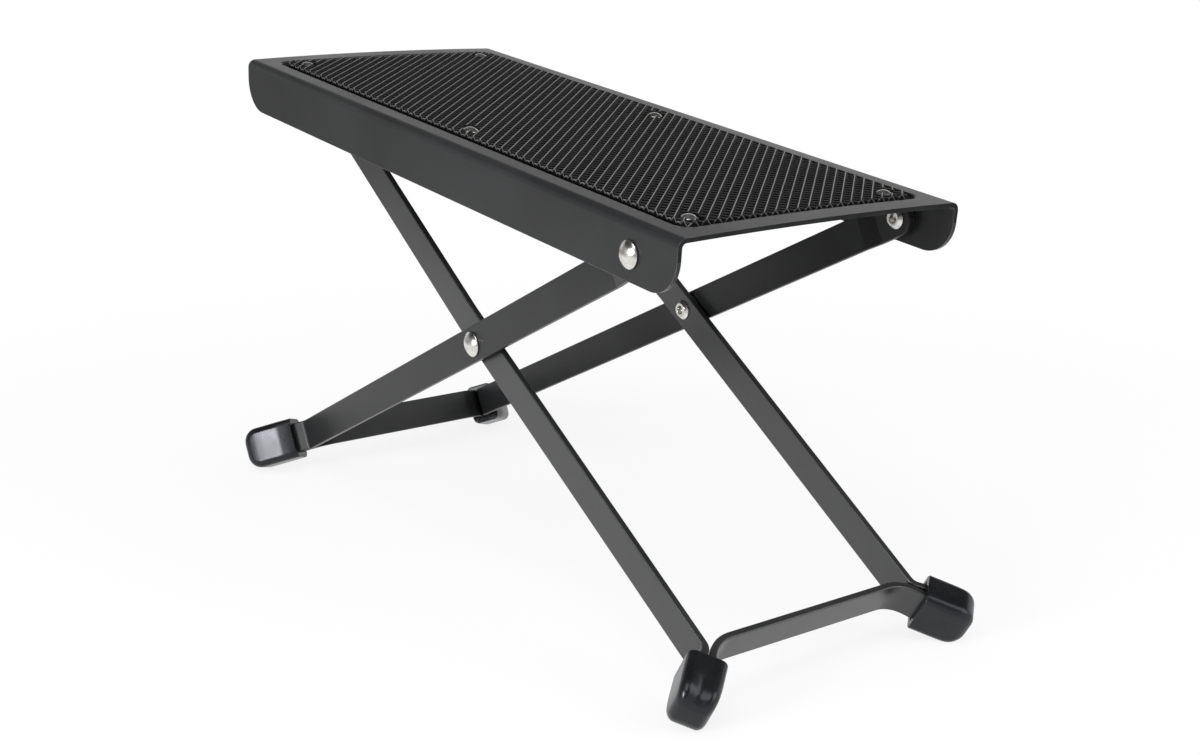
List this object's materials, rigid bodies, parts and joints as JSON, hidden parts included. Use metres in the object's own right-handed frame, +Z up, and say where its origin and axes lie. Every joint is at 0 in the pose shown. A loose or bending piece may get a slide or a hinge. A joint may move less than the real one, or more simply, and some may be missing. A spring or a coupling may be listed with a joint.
{
  "type": "folding guitar footstool",
  "caption": "Folding footstool with a ribbed rubber tread on a folded steel tray, carried by two riveted X legs of bent flat strip with rubber feet; folds flat and steps up in height.",
  "frame": {"origin": "on the floor under the middle of the bounding box", "axes": "+X along the tray towards its hinge end, +Y to the far side, +Z up"},
  "size_m": [0.3166, 0.1318, 0.175],
  "materials": {
    "black_powder_coat": "satin black powder coat on steel",
    "mat_rubber": "matt ribbed rubber",
    "foot_rubber": "semi-gloss moulded rubber",
    "bright_nickel": "bright nickel plate",
    "plain_washer": "plain zinc"
  },
  "bodies": {
    "outer_frame": {"outer_leg_frame": "black_powder_coat", "rubber_foot_outer_near": "foot_rubber", "rubber_foot_outer_far": "foot_rubber", "scissor_rivet_near": "bright_nickel", "scissor_rivet_far": "bright_nickel", "scissor_spacer_near": "plain_washer", "scissor_spacer_far": "plain_washer", "hinge_rivet_near": "bright_nickel", "hinge_rivet_far": "bright_nickel", "hinge_washer_near": "plain_washer", "hinge_washer_far": "plain_washer"},
    "inner_frame": {"inner_leg_frame": "black_powder_coat", "rubber_foot_inner_near": "foot_rubber", "rubber_foot_inner_far": "foot_rubber", "lock_rod": "black_powder_coat"},
    "tray_top": {"tray": "black_powder_coat", "ribbed_mat": "mat_rubber", "mat_rivet_hinge_end_near": "bright_nickel", "mat_rivet_hinge_end_far": "bright_nickel", "mat_rivet_middle_near": "bright_nickel", "mat_rivet_middle_far": "bright_nickel", "mat_rivet_rod_end_near": "bright_nickel", "mat_rivet_rod_end_far": "bright_nickel", "height_rack_near": "black_powder_coat", "height_rack_far": "black_powder_coat"}
  },
  "joints": [
    {"name": "scissor_fold", "type": "hinge", "parent": "outer_frame", "child": "inner_frame", "pos_m": [0.01199, 0, 0.09033], "axis": [0, -1, 0], "range_deg": [-9, 57.4]},
    {"name": "tray_fold", "type": "hinge", "parent": "outer_frame", "child": "tray_top", "pos_m": [0.11388, 0, 0.14169], "axis": [0, -1, 0], "range_deg": [-4.98, 31.62]}
  ],
  "couplings": [
    {"joint": "tray_fold", "follows": "scissor_fold", "ratio": 0.55052}
  ]
}
